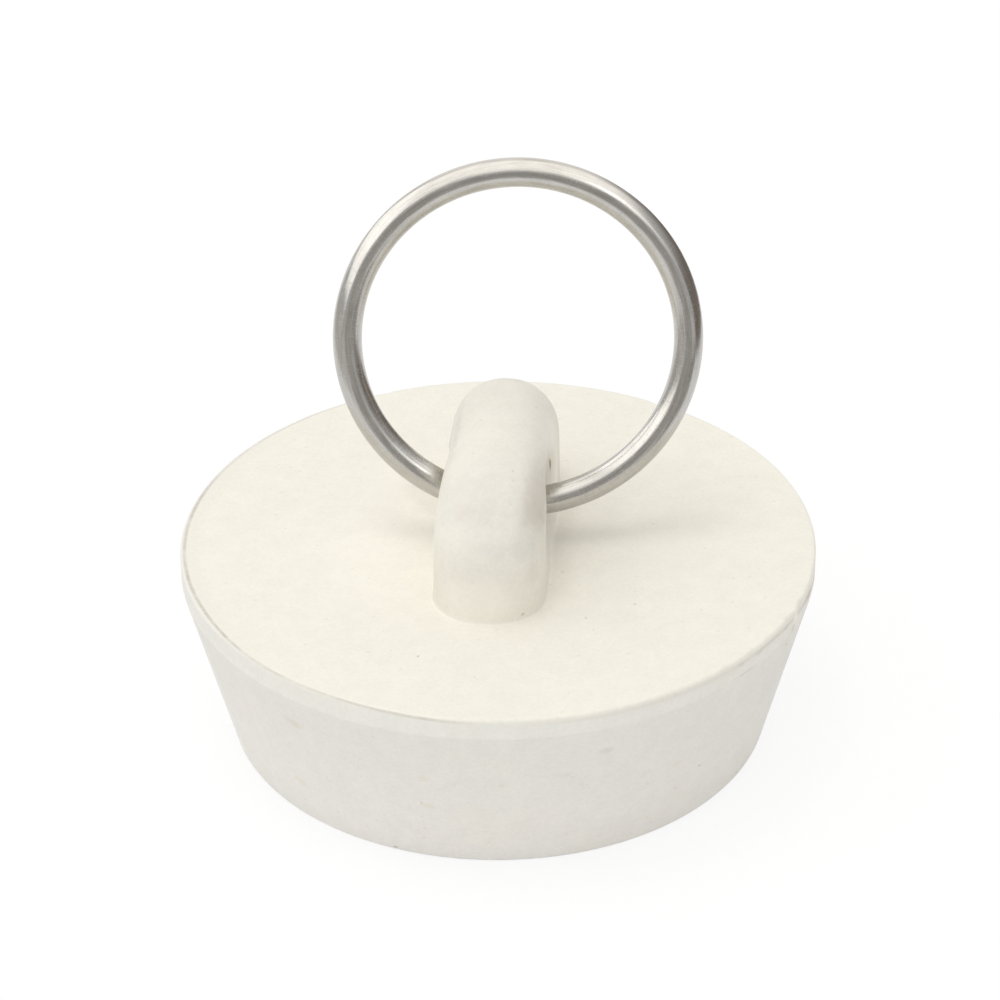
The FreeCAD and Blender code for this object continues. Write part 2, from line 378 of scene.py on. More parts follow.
EDGE_GRIME_AND_SHADE = (
    EdgeGrimeAndShade(MarkKind.GREY_SMUDGE_AND_SHADE, -150.0, -80.0, 0.28),
    # Painted shade: a grey film that darkens the rim band on the lit left side.
    EdgeGrimeAndShade(MarkKind.GREY_SMUDGE_AND_SHADE, -140.0, -35.0, 0.07, 1.6, 30.0),
    EdgeGrimeAndShade(MarkKind.BROWN_GRIME_AND_SHADOW, -112.0, -46.0, 0.32),
    EdgeGrimeAndShade(MarkKind.BROWN_GRIME_AND_SHADOW, -86.0, -38.0, 0.16),
    EdgeGrimeAndShade(MarkKind.BROWN_GRIME_AND_SHADOW, -62.0, 4.0, 0.32),
    EdgeGrimeAndShade(MarkKind.BROWN_GRIME_AND_SHADOW, 5.0, 60.0, 0.09),
    EdgeGrimeAndShade(MarkKind.BROWN_GRIME_AND_SHADOW, 46.0, 92.0, 0.20),
    EdgeGrimeAndShade(MarkKind.BROWN_GRIME_AND_SHADOW, 68.0, 96.0, 0.18, 0.24),
    # Painted shade: a grey film on the rim band on the right, the side away from the light.
    EdgeGrimeAndShade(MarkKind.GREY_SMUDGE_AND_SHADE, 20.0, 92.0, 0.06, 0.6),
)


@dataclass(frozen=True)
class RubberFinish:
    """Cream white moulded rubber, matte and faintly mottled, with specks, stains and a grimy edge.

    A fade is the pair of heights (mm) between which a colour comes in. A line drop is a pair of bearings
    (degrees) and how far the edge line sinks between them (mm). The band, wall foot, bail and bail foot
    colours, and some marks and edge films, are painted light and shade.
    """

    name: str = "white_rubber"
    top_colour: Colour = (0.888, 0.857, 0.765)
    # Painted light: the rim band is a little lighter than the wall below it.
    band_painted_light: Colour = (0.856, 0.838, 0.770)
    wall_colour: Colour = (0.828, 0.802, 0.750)
    # Painted light: the wall is lighter towards its foot, against the shade near the floor.
    wall_foot_painted_light: Colour = (0.868, 0.842, 0.793)
    # Painted shade: the bail is darker than the top, less so at its crown.
    bail_painted_shade: Colour = (0.824, 0.794, 0.710)
    # Painted shade in the crease where the bail's foot meets the top.
    bail_foot_painted_shade: Colour = (0.800, 0.765, 0.665)
    warm_patch: Colour = (0.862, 0.826, 0.722)
    # Heights over which the wall's painted light at the foot gives way to the wall colour.
    wall_fade: tuple[float, float] = (0.5, 11.0)
    # Heights where the rim band's painted light comes in.
    band_fade: tuple[float, float] = (BAND_FOOT - 0.12, BAND_FOOT + 0.16)
    skin_depth: tuple[float, float] = (11.5, 12.0)
    skin_fade: float = 0.1
    bail_fade: tuple[float, float] = (TOP_HEIGHT + 0.01, TOP_HEIGHT + 0.12)
    # Heights over which the painted shade at the bail's foot fades out, and its share at the foot.
    bail_foot_fade: tuple[float, float] = (TOP_HEIGHT + 0.3, TOP_HEIGHT + 2.8)
    bail_foot_share: float = 0.25
    # The bail's painted shade fades out towards its crown, where only this share of it stays.
    crown_fade: tuple[float, float] = (TOP_HEIGHT + BAIL_HEIGHT - 2.2, TOP_HEIGHT + BAIL_HEIGHT - 0.3)
    crown_share: float = 0.6
    warm_patches: Mottle = Mottle(0.16, 3.0, 0.55, 0.45, 0.75, 0.0, 0.35)
    clouds: Mottle = Mottle(0.7, 4.0, 0.6, 0.25, 0.75, 0.978, 1.014)
    grain: Mottle = Mottle(3.6, 3.0, 0.65, 0.2, 0.8, 0.965, 1.025)
    gloss: Mottle = Mottle(0.5, 3.0, 0.5, 0.3, 0.7, 0.52, 0.64)
    broken_edge_marks: Mottle = Mottle(0.7, 4.0, 0.65, 0.32, 0.62, 0.45, 1.0)
    broad_relief: Relief = Relief(0.35, 2.0, 0.5, 0.18, 0.25)
    fine_relief: Relief = Relief(2.6, 4.0, 0.6, 0.22, 0.05)
    specular: float = 0.35
    line_inset: float = 0.31
    line_drops: Sequence[tuple[float, float, float]] = (
        (-64.0, -36.0, 0.28), (-30.0, 20.0, 0.45), (56.0, 90.0, 0.60), (100.0, 150.0, -1.33),
    )
    speckles: Sequence[Speckle] = SPECKLES
    speck_choice: float = 0.02
    speck_core_share: float = 0.5
    ragged_scale: float = 1.4
    ragged_detail: float = 4.0
    marks: Sequence[Mark] = SIDE_MARKS + TOP_MARKS + BAIL_MARKS
    mark_core_share: float = 0.25
    edge_grime_and_shade: Sequence[EdgeGrimeAndShade] = EDGE_GRIME_AND_SHADE

    def material(self) -> bpy.types.Material:
        """Builds the material.

        Returns:
            A procedural material on Object coordinates, in millimetres inside.
        """
        material, graph = empty_material(self.name)
        place = graph.scaled(graph.add("ShaderNodeTexCoord").outputs["Object"], 1.0 / MM)
        colour = self._ground(graph, place)
        for layer in (self._specks, self._grime_and_shade, self._stains_and_painted_light):
            colour = layer(graph, place, colour)
        graph.show(graph.add("ShaderNodeBsdfPrincipled", {
            "Base Color": colour,
            "Roughness": self.gloss.over(graph, place),
            "Normal": self.fine_relief.over(graph, place, self.broad_relief.over(graph, place)),
            "Specular IOR Level": self.specular,
        }))
        return material

    def _ground(self, graph: Graph, place: Socket) -> Socket:
        """Lays the rubber's colour in soft patches, creamier on the top and greyer on the wall, with painted
        light and shade.

        Args:
            graph: The material's tree.
            place: The place on the rubber, in millimetres.

        Returns:
            The colour.
        """
        up = graph.add("ShaderNodeSeparateXYZ", {"Vector": place}).outputs["Z"]
        # Painted light: the wall gets lighter towards its foot.
        colour = graph.mix(graph.step(up, *self.wall_fade), self.wall_foot_painted_light, self.wall_colour)
        # Painted light on the rim band.
        colour = graph.mix(graph.step(up, *self.band_fade), colour, self.band_painted_light)
        _, past_line = self._edge_line(graph, place)
        within = graph.step(past_line, -self.skin_fade, self.skin_fade, 1.0, 0.0)
        colour = graph.mix(graph.product(within, graph.step(up, *self.skin_depth)), colour, self.top_colour)
        # Painted shade over the bail, thinning out at its crown.
        on_bail = graph.step(up, *self.bail_fade)
        below_crown = graph.step(up, *self.crown_fade, 1.0, self.crown_share)
        colour = graph.mix(graph.product(on_bail, below_crown), colour, self.bail_painted_shade)
        # Painted shade in the crease at the bail's foot.
        at_foot = graph.step(up, *self.bail_foot_fade, self.bail_foot_share, 0.0)
        colour = graph.mix(graph.product(on_bail, at_foot), colour, self.bail_foot_painted_shade)
        colour = graph.mix(self.warm_patches.over(graph, place), colour, self.warm_patch)
        colour = graph.shaded(colour, self.clouds.over(graph, place))
        return graph.shaded(colour, self.grain.over(graph, place))

    def _specks(self, graph: Graph, place: Socket, colour: Socket) -> Socket:
        """Strews fine dark and tan specks, each in its own cell, in a share of the cells.

        Args:
            graph: The material's tree.
            place: The place on the rubber, in millimetres.
            colour: The colour underneath.

        Returns:
            The colour with the specks.
        """
        for speckle in self.speckles:
            cells = graph.add("ShaderNodeTexVoronoi", {"Vector": place, "Scale": speckle.cells})
            chance = graph.add("ShaderNodeSeparateColor", {"Color": cells.outputs["Color"]}).outputs["Red"]
            chosen = graph.step(chance, speckle.clear_share, speckle.clear_share + self.speck_choice)
            core = speckle.size * self.speck_core_share
            dot = graph.step(cells.outputs["Distance"], core, speckle.size, 1.0, 0.0)
            colour = graph.mix(graph.product(chosen, dot, speckle.strength), colour, speckle.kind.value)
        return colour

    def _stains_and_painted_light(self, graph: Graph, place: Socket, colour: Socket) -> Socket:
        """Lays the marks that lie in known places, stains and patches of painted light and shade, each with a
        ragged edge.

        Args:
            graph: The material's tree.
            place: The place on the rubber, in millimetres.
            colour: The colour underneath.

        Returns:
            The colour with the marks.
        """
        ragged = graph.add("ShaderNodeTexNoise", {
            "Vector": place, "Scale": self.ragged_scale, "Detail": self.ragged_detail,
        })
        shift = graph.vector("SUBTRACT", ragged.outputs["Color"], (0.5, 0.5, 0.5))
        for mark in self.marks:
            shares = graph.vector("DIVIDE", graph.vector("SUBTRACT", place, mark.place), mark.reach)
            uneven = graph.vector("ADD", shares, graph.scaled(shift, mark.ragged))
            apart = graph.vector("LENGTH", uneven, output="Value")
            mask = graph.step(apart, self.mark_core_share, 1.0, mark.strength, 0.0)
            colour = graph.mix(mask, colour, mark.kind.value)
        return colour

    def _edge_line(self, graph: Graph, place: Socket) -> tuple[Socket, Socket]:
        """Finds the line where the top's cream skin ends: on the top at the left, lower down at the right.

        Args:
            graph: The material's tree.
            place: The place on the rubber, in millimetres.

        Returns:
            The bearing in degrees, and how far the place lies past the line.
        """
        parts = graph.add("ShaderNodeSeparateXYZ", {"Vector": place})
        across, along, up = (parts.outputs[axis] for axis in "XYZ")
        bearing = graph.maths("DEGREES", graph.maths("ARCTAN2", across, graph.product(along, -1.0)))
        flat = graph.add("ShaderNodeCombineXYZ", {"X": across, "Y": along}).outputs[0]
        radius = graph.vector("LENGTH", flat, output="Value")
        beyond = graph.maths("SUBTRACT", radius, RIM_RADIUS)
        past = graph.maths("ADD", beyond, graph.maths("SUBTRACT", TOP_HEIGHT, up))
        past = graph.maths("ADD", past, self.line_inset)
        for start, end, drop in self.line_drops:
            past = graph.maths("SUBTRACT", past, graph.step(bearing, start, end, 0.0, drop))
        return bearing, past

    def _grime_and_shade(self, graph: Graph, place: Socket, colour: Socket) -> Socket:
        """Lays the grime caught along the edge line, and the painted shade on the rim band, broken up by
        noise.

        Args:
            graph: The material's tree.
            place: The place on the rubber, in millimetres.
            colour: The colour underneath.

        Returns:
            The colour with the grime.
        """
        bearing, past_line = self._edge_line(graph, place)
        apart = graph.maths("ABSOLUTE", past_line)
        broken = self.broken_edge_marks.over(graph, place)
        for edge_mark in self.edge_grime_and_shade:
            begins = graph.step(bearing, edge_mark.start, edge_mark.start + edge_mark.fade)
            ends = graph.step(bearing, edge_mark.end - edge_mark.fade, edge_mark.end, 1.0, 0.0)
            core = edge_mark.half_width * self.mark_core_share
            near = graph.step(apart, core, edge_mark.half_width, edge_mark.strength, 0.0)
            colour = graph.mix(graph.product(begins, ends, near, broken), colour, edge_mark.kind.value)
        return colour


@dataclass(frozen=True)
class WireGrain:
    """Noise on the wire, stretched round it and along it."""

    around: float
    along: float
    detail: float
    roughness: float

    def over(self, graph: Graph, section: Socket, run: Socket) -> Socket:
        """Lays the noise over the wire.

        Args:
            graph: The material's tree.
            section: The place on the wire's section.
            run: The way along the wire, in millimetres.

        Returns:
            The noise between 0 and 1.
        """
        parts = graph.add("ShaderNodeSeparateXYZ", {"Vector": section}).outputs
        place = graph.add("ShaderNodeCombineXYZ", {
            "X": graph.product(parts["X"], self.around),
            "Y": graph.product(parts["Y"], self.around),
            "Z": graph.product(run, self.along),
        }).outputs[0]
        return graph.noise(place, 1.0, self.detail, self.roughness)


@dataclass(frozen=True)
class SteelFinish:
    """Bright drawn steel wire, satin, with fine lines along it, scratches across it and dull patches.

    The zones are the noise values between which lines, scratches and patches come in. A relief is its
    strength and its depth (mm).
    """

    name: str = "ring_steel"
    colour: Colour = (0.585, 0.572, 0.548)
    dull_colour: Colour = (0.475, 0.458, 0.43)
    roughness: float = 0.175
    lines: WireGrain = WireGrain(9.0, 0.6, 4.0, 0.6)
    line_zone: tuple[float, float] = (0.3, 0.7)
    line_levels: tuple[float, float] = (0.90, 1.06)
    line_roughness: float = 0.06
    line_relief: tuple[float, float] = (0.20, 0.03)
    scratches: WireGrain = WireGrain(0.5, 7.0, 5.0, 0.7)
    scratch_zone: tuple[float, float] = (0.56, 0.70)
    scratch_share: float = 0.18
    scratch_rough_zone: tuple[float, float] = (0.5, 0.7)
    scratch_roughness: float = 0.10
    scratch_relief: tuple[float, float] = (0.07, 0.03)
    patches: WireGrain = WireGrain(0.8, 0.35, 4.0, 0.6)
    patch_zone: tuple[float, float] = (0.35, 0.75)
    patch_share: float = 0.55
    section: str = "wire_section"
    run: str = "wire_run"

    def material(self) -> bpy.types.Material:
        """Builds the material.

        Returns:
            A procedural material that follows the wire's own section and run.
        """
        material, graph = empty_material(self.name)
        section = graph.add("ShaderNodeAttribute", attribute_name=self.section).outputs["Vector"]
        run = graph.add("ShaderNodeAttribute", attribute_name=self.run).outputs["Fac"]
        lines, scratches, patches = (
            grain.over(graph, section, run) for grain in (self.lines, self.scratches, self.patches)
        )
        dulled = graph.step(patches, *self.patch_zone, 0.0, self.patch_share)
        scratched = graph.step(scratches, *self.scratch_zone, 0.0, self.scratch_share)
        colour = graph.mix(dulled, self.colour, self.dull_colour)
        colour = graph.mix(scratched, colour, self.dull_colour)
        in_lines = graph.step(lines, *self.line_zone, 0.0, self.line_roughness)
        in_scratches = graph.step(scratches, *self.scratch_rough_zone, 0.0, self.scratch_roughness)
        along = graph.bump(lines, *self.line_relief)
        graph.show(graph.add("ShaderNodeBsdfPrincipled", {
            "Base Color": graph.shaded(colour, graph.step(lines, *self.line_zone, *self.line_levels)),
            "Metallic": 1.0,
            "Roughness": graph.maths("ADD", graph.maths("ADD", in_lines, in_scratches), self.roughness),
            "Normal": graph.bump(scratches, *self.scratch_relief, along),
        }))
        return material


@dataclass(frozen=True)
class FloorFinish:
    """A white sweep that shows white, keeps a light shadow and bounces light as white paper does."""

    name: str = "white_sweep"
    paper: float = 0.86
    shown_share: float = 0.26
    glow: float = 0.79
    tint: Mottle = Mottle(60.0, 2.0, 0.5, 0.0, 1.0, 0.985, 1.0)

    def material(self) -> bpy.types.Material:
        """Builds the material.

        Returns:
            A diffuse white whose own light only the camera and reflections see.
        """
        material, graph = empty_material(self.name)
        seen = seen_directly(graph)
        tint = self.tint.over(graph, graph.add("ShaderNodeTexCoord").outputs["Object"])
        share = graph.maths("SUBTRACT", 1.0, graph.product(seen, 1.0 - self.shown_share))
        level = graph.grey(graph.product(share, tint, self.paper))
        both = graph.add("ShaderNodeAddShader")
        graph.feed(both.inputs[0], graph.add("ShaderNodeBsdfDiffuse", {"Color": level}).outputs[0])
        glow = graph.add("ShaderNodeEmission", {"Strength": graph.product(seen, self.glow)})
        graph.feed(both.inputs[1], glow.outputs[0])
        graph.show(both)
        return material


@dataclass(frozen=True)
class PanelFinish:
    """A panel that the ring's polish reflects: its colour, half sizes (m) and the shares that fade out."""

    name: str
    colour: Colour
    half_size: tuple[float, float]
    side_fade: float
    top_fade: float
    foot_fade: float
    glow: Mottle = Mottle(4.0, 2.0, 0.5, 0.3, 0.7, 0.92, 1.08)

    def material(self) -> bpy.types.Material:
        """Builds the material.

        Returns:
            A slightly uneven glow of the panel's own colour, clear where the panel fades out.
        """
        material, graph = empty_material(self.name)
        place = graph.add("ShaderNodeTexCoord").outputs["Object"]
        parts = graph.add("ShaderNodeSeparateXYZ", {"Vector": place}).outputs
        wide, tall = self.half_size
        aside = graph.maths("DIVIDE", graph.maths("ABSOLUTE", parts["X"]), wide)
        up = graph.maths("DIVIDE", parts["Y"], tall)
        shown = graph.product(
            graph.step(aside, 1.0 - self.side_fade, 1.0, 1.0, 0.0),
            graph.step(up, 1.0 - 2.0 * self.top_fade, 1.0, 1.0, 0.0),
            graph.step(up, -1.0, -1.0 + 2.0 * self.foot_fade),
        )
        strength = self.glow.over(graph, place)
        glow = graph.add("ShaderNodeEmission", {"Color": (*self.colour, 1.0), "Strength": strength})
        blend = graph.add("ShaderNodeMixShader", {"Fac": shown})
        graph.feed(blend.inputs[1], graph.add("ShaderNodeBsdfTransparent").outputs[0])
        graph.feed(blend.inputs[2], glow.outputs[0])
        graph.show(blend)
        return material


def seen_directly(graph: Graph) -> Socket:
    """Tells what is looked at from what only sends light.

    Args:
        graph: The tree.

    Returns:
        A number that is 1 for the camera, reflections and refractions, and 0 for other light.
    """
    path = graph.add("ShaderNodeLightPath").outputs
    seen = graph.maths("MAXIMUM", path["Is Camera Ray"], path["Is Glossy Ray"])
    return graph.maths("MAXIMUM", seen, path["Is Transmission Ray"])


def smooth_least(first: np.ndarray, second: np.ndarray, reach: float | np.ndarray) -> np.ndarray:
    """The lesser of two fields, rounded where they are within reach of each other."""
    overlap = np.maximum(reach - np.abs(first - second), 0.0) / reach
    return np.minimum(first, second) - overlap * overlap * reach / 4.0


def rounded_both(first: np.ndarray, second: np.ndarray, radius: float) -> np.ndarray:
    """Finds what lies in both of two fields, with a round edge between them.

    Args:
        first: One field, below zero inside.
        second: The other.
        radius: The edge's radius.

    Returns:
        The field of both.
    """
    one, two = first + radius, second + radius
    corner = np.hypot(np.maximum(one, 0.0), np.maximum(two, 0.0))
    return corner + np.minimum(np.maximum(one, two), 0.0) - radius


def net_over_field(
    shape: Callable[[np.ndarray], np.ndarray], low: Place, high: Place, step: float
) -> tuple[np.ndarray, np.ndarray]:
    """Lays a net of four-sided faces over the surface where a field is zero.

    Args:
        shape: The field, below zero inside.
        low: The lowest corner of the zone.
        high: The highest corner of the zone.
        step: The net's spacing.

    Returns:
        The net's points, and its faces as rows of four indices.
    """
    axes = [np.arange(start, end + step / 2, step) for start, end in zip(low, high)]
    grid = np.stack(np.meshgrid(*axes, indexing="ij"), axis=-1)
    inside = shape(grid.reshape(-1, 3)).reshape(grid.shape[:3]) < 0.0
    cells = [count - 1 for count in inside.shape]
    corners = np.zeros(cells, dtype=int)
    for offset in np.ndindex(2, 2, 2):
        corners += inside[tuple(slice(first, first + count) for first, count in zip(offset, cells))]
    crossed = (corners > 0) & (corners < 8)
    number = np.full(cells, -1)
    number[crossed] = np.arange(crossed.sum())
    points = grid[:-1, :-1, :-1][crossed] + step / 2
    points = settle(shape, points, step)
    faces = []
    for axis in range(3):
        before = np.delete(inside, -1, axis=axis)
        after = np.delete(inside, 0, axis=axis)
        edges = np.argwhere(before != after)
        for other in ((axis + 1) % 3, (axis + 2) % 3):
            edges = edges[(edges[:, other] >= 1) & (edges[:, other] < cells[other])]
        next_axis, last_axis = np.eye(3, dtype=int)[(axis + 1) % 3], np.eye(3, dtype=int)[(axis + 2) % 3]
        around = (edges, edges - next_axis, edges - next_axis - last_axis, edges - last_axis)
        quads = np.stack([number[tuple(cell.T)] for cell in around], axis=1)
        outward = before[tuple(edges.T)]
        quads[~outward] = quads[~outward][:, ::-1]
        faces.append(quads)
    return points, np.concatenate(faces)


def settle(
    shape: Callable[[np.ndarray], np.ndarray], points: np.ndarray, step: float,
    rounds: int = 6, least_steepness: float = 0.05,
) -> np.ndarray:
    """Moves points onto the surface where a field is zero.

    Args:
        shape: The field.
        points: Points near the surface.
        step: The furthest that a point may move at a time.
        rounds: How often the points move.
        least_steepness: The least slope, squared, that a move goes by.

    Returns:
        The moved points.
    """
    nudge = step / 20.0
    for _ in range(rounds):
        slope = np.stack([
            (shape(points + nudge * axis) - shape(points - nudge * axis)) / (2.0 * nudge)
            for axis in np.eye(3)
        ], axis=1)
        steepness = np.maximum((slope * slope).sum(axis=1), least_steepness)
        move = np.clip(shape(points) / steepness, -step, step)
        points = points - slope * move[:, None]
    return points


@dataclass
class Bail:
    """The loaf on the plug's top and its eye, as a field in millimetres."""

    base_height: float = TOP_HEIGHT
    half_length: float = 10.97
    half_width: float = 3.85
    height: float = BAIL_HEIGHT
    shoulder: float = 5.45
    flank_slope: float = 0.012
    rounding: float = 3.5
    foot_reach: float = 0.25
    eye_height: float = EYE_HEIGHT
    eye_throat: float = 1.5
    eye_flare: float = 0.5
    eye_flare_start: float = 0.4
    eye_lip: float = 0.9
    worn_lip: float = 3.2
    worn_from: float = 2.0
    side_shift: float = 0.05
    plan_taper: float = 0.005
    zone: Place = (5.6, 12.6, 9.6)
    zone_below: float = 0.45
    net_step: float = 0.15

    def loaf(self, points: np.ndarray) -> np.ndarray:
        """Gives the loaf without its eye.

        Args:
            points: Where the field is wanted, as rows.

        Returns:
            The field, below zero inside.
        """
        across, along, up = points.T
        rise = up - self.base_height
        profile = rounded_both(np.abs(along) - self.half_length, rise - self.height, self.shoulder)
        inset = self.flank_slope * np.maximum(rise, 0.0) + self.plan_taper * (along + self.half_length)
        flank = np.abs(across - self.side_shift) - (self.half_width - inset)
        return rounded_both(profile, flank, self.rounding)

    def eye(self, points: np.ndarray) -> np.ndarray:
        """Gives the eye.

        Args:
            points: Where the field is wanted, as rows.

        Returns:
            The field, below zero in the rubber round the eye and above zero in the hole.
        """
        across, along, up = points.T
        flare = np.hypot(self.eye_flare_start, self.eye_flare * across) - self.eye_flare_start
        return self.eye_throat + flare - np.hypot(along, up - self.eye_height)

    def lip(self, points: np.ndarray) -> np.ndarray:
        """Says how far the eye's lip is rounded: most in front on the right, where the wire has worn it.

        Args:
            points: Where it is wanted, as rows.

        Returns:
            The lip's reach in millimetres.
        """
        across, along, up = points.T
        ahead = np.maximum(-along, 0.0) / np.maximum(np.hypot(along, up - self.eye_height), 0.01)
        right = np.clip(across / self.worn_from, 0.0, 1.0)
        return self.eye_lip + (self.worn_lip - self.eye_lip) * ahead ** 2 * right

    def shape(self, points: np.ndarray) -> np.ndarray:
        """The bail on the plug's flat top."""
        holed = -smooth_least(-self.loaf(points), -self.eye(points), self.lip(points))
        return smooth_least(holed, points[:, 2] - self.base_height, self.foot_reach)

    def net(self) -> tuple[np.ndarray, np.ndarray]:
        """Lays the net over the bail and the top next to it.

        Returns:
            The net's points, and its faces as rows of four indices.
        """
        wide, long, tall = self.zone
        low = (-wide, -long, self.base_height - self.zone_below)
        return net_over_field(self.shape, low, (wide, long, self.base_height + tall), self.net_step)


@dataclass(frozen=True)
class EdgeNotch:
    """A nick in the plug's top edge: its bearing and width in degrees, how far in and how far down (mm)."""

    bearing: float
    width: float
    inward: float
    down: float


@dataclass
class StopperMoulding:
    """The rubber moulding: plug, rim band, cored underside and bail, in millimetres.

    The turned outline has rings of points at the radii given for the top, sole and roof, at the drops below
    the top on the rim band, and at the shares of the recess's depth on its wall.
    """

    name: str = "stopper_moulding"
    node: str = "rubber_stopper"
    body: str = "stopper"
    material_slot: str = "white_rubber"
    rim_radius: float = RIM_RADIUS
    foot_radius: float = FOOT_RADIUS
    height: float = TOP_HEIGHT
    band_foot: float = BAND_FOOT
    rim_edge: float = 0.24
    rim_foot_edge: float = 0.18
    foot_edge: float = 0.32
    recess_mouth: float = 14.0
    recess_roof: float = 12.54
    recess_depth: float = 7.5
    recess_edge: float = 0.25
    recess_corner: float = 0.8
    joint_radius: float = 14.4
    top_rings: Sequence[float] = (16.5, 18.5, 20.2, 21.2, 21.6)
    edge_lead: float = 0.08
    band_drops: Sequence[float] = (0.45, 0.8, 1.2)
    taper_span: tuple[float, float] = (0.03, 0.96)
    taper_rings: int = 18
    sole_rings: Sequence[float] = (17.0, 15.5)
    sole_lead: float = 0.1
    recess_shares: Sequence[float] = (0.08, 0.25, 0.45, 0.65, 0.85)
    roof_rings: Sequence[float] = (11.4, 9.0, 6.5, 4.0, 2.0, 0.8)
    segments: int = 720
    wobble: float = 0.035
    wobble_waves: Sequence[int] = (3, 5, 8, 13, 21, 34, 55)
    wobble_radii: tuple[float, float] = (21.0, 22.0)
    still_share: float = 0.2
    seed: int = 7
    notch_reach: float = 0.9
    highest_burr: float = 0.08
    bail: Bail = field(default_factory=Bail)
    finish: RubberFinish = field(default_factory=RubberFinish)
    notches: Sequence[EdgeNotch] = (
        EdgeNotch(-16.6, 1.0, 0.10, 0.05),
        EdgeNotch(-19.4, 0.9, -0.14, -0.03),
        EdgeNotch(-22.6, 1.0, 0.14, 0.07),
        EdgeNotch(-29.5, 1.4, 0.07, 0.03),
        EdgeNotch(-34.6, 0.8, 0.09, 0.04),
        EdgeNotch(-41.7, 1.0, 0.08, 0.03),
        EdgeNotch(-48.5, 0.7, 0.05, 0.02),
        EdgeNotch(-128.0, 1.2, 0.06, 0.05),
        EdgeNotch(-151.0, 1.0, 0.06, 0.05),
        EdgeNotch(63.0, 1.1, 0.07, 0.06),
        EdgeNotch(117.0, 0.9, 0.06, 0.05),
    )

    def build(self) -> bpy.types.Object:
        """Builds the piece and sets it in the frame.

        Returns:
            The moulding as one closed mesh.
        """
        shell = bmesh.new()
        points, quads = self.bail.net()
        patch = [shell.verts.new(Vector(point)) for point in points]
        for quad in quads:
            shell.faces.new([patch[index] for index in quad])
        self._trim_loose(shell)
        border = [edge for edge in shell.edges if edge.is_boundary]
        inner_edges = self._turn(shell)
        bmesh.ops.triangle_fill(shell, use_beauty=True, use_dissolve=False, edges=border + inner_edges)
        bmesh.ops.scale(shell, vec=(MM, MM, MM), verts=shell.verts)
        bmesh.ops.recalc_face_normals(shell, faces=shell.faces)
        for face in shell.faces:
            face.smooth = True
        mesh = bpy.data.meshes.new(self.name)
        shell.to_mesh(mesh)
        shell.free()
        mesh.materials.append(self.finish.material())
        return place_piece(self.name, mesh, self.node, self.body)

    def _trim_loose(self, shell: bmesh.types.BMesh) -> None:
        """Drops net points that no face uses."""
        loose = [vertex for vertex in shell.verts if not vertex.link_faces]
        bmesh.ops.delete(shell, geom=loose, context="VERTS")

    def _turn(self, shell: bmesh.types.BMesh) -> list[bmesh.types.BMEdge]:
        """Turns the plug's profile round its axis.

        Args:
            shell: The mesh that gets the turned faces.

        Returns:
            The edges of the innermost ring on the top, which the bail's net joins.
        """
        bearings = np.linspace(-math.pi, math.pi, self.segments, endpoint=False)
        outline = self._outside() + self._underside()
        rings = [self._ring(shell, radius, height, bearings) for radius, height in outline]
        for upper, lower in zip(rings, rings[1:]):
            for index in range(self.segments):
                after = (index + 1) % self.segments
                shell.faces.new((upper[index], lower[index], lower[after], upper[after]))
        centre = shell.verts.new((0.0, 0.0, self.recess_depth))
        for index in range(self.segments):
            shell.faces.new((rings[-1][index], centre, rings[-1][(index + 1) % self.segments]))
        pairs = zip(rings[0], rings[0][1:] + rings[0][:1])
        return [shell.edges.get(pair) for pair in pairs]

    def _ring(
        self, shell: bmesh.types.BMesh, radius: float, height: float, bearings: np.ndarray
    ) -> list[bmesh.types.BMVert]:
        """Makes one ring of points, with the rim's wobble and notches where it is near the top edge.

        Args:
            shell: The mesh that gets the points.
            radius: The ring's radius.
            height: The ring's height.
            bearings: The points' bearings in radians.

        Returns:
            The points.
        """
        from_edge = math.hypot(radius - self.rim_radius, height - self.height)
        nearness = max(0.0, 1.0 - from_edge / self.notch_reach)
        inner, outer = self.wobble_radii
        rim_share = np.clip((radius - inner) / (outer - inner), 0.0, 1.0)
        rim_share *= np.clip(height / self.height - self.still_share, 0.0, 1.0)
        radii = np.full(len(bearings), radius) - self._wander(bearings) * rim_share
        heights = np.full(len(bearings), height)
        for notch in self.notches:
            apart = (np.degrees(bearings) - notch.bearing + 180.0) % 360.0 - 180.0
            dip = np.exp(-((apart / notch.width) ** 2)) * nearness
            radii = radii - notch.inward * dip
            heights = heights - notch.down * dip
        across, along = radii * np.cos(bearings), radii * np.sin(bearings)
        heights = np.minimum(heights, self.height + self.highest_burr)
        return [shell.verts.new(place) for place in zip(across, along, heights)]

    def _wander(self, bearings: np.ndarray) -> np.ndarray:
        """Says how far the rim lies inside its full radius.

        Args:
            bearings: The bearings in radians.

        Returns:
            The way inward at each bearing.
        """
        chance = np.random.default_rng(self.seed)
        total = np.zeros(len(bearings))
        for waves in self.wobble_waves:
            total += np.cos(waves * bearings + chance.uniform(0.0, 2.0 * math.pi)) / math.sqrt(waves)
        total = (total - total.min()) / (total.max() - total.min())
        return self.wobble * total

    @property
    def lean(self) -> float:
        """How far the tapered wall leans from upright, in degrees."""
        return math.degrees(math.atan2(self.rim_radius - self.foot_radius, self.band_foot))

    @property
    def sole_radius(self) -> float:
        """The radius where the flat sole meets the foot's round edge."""
        return self.foot_radius - self.foot_edge * math.tan(math.radians((90.0 - self.lean) / 2.0))

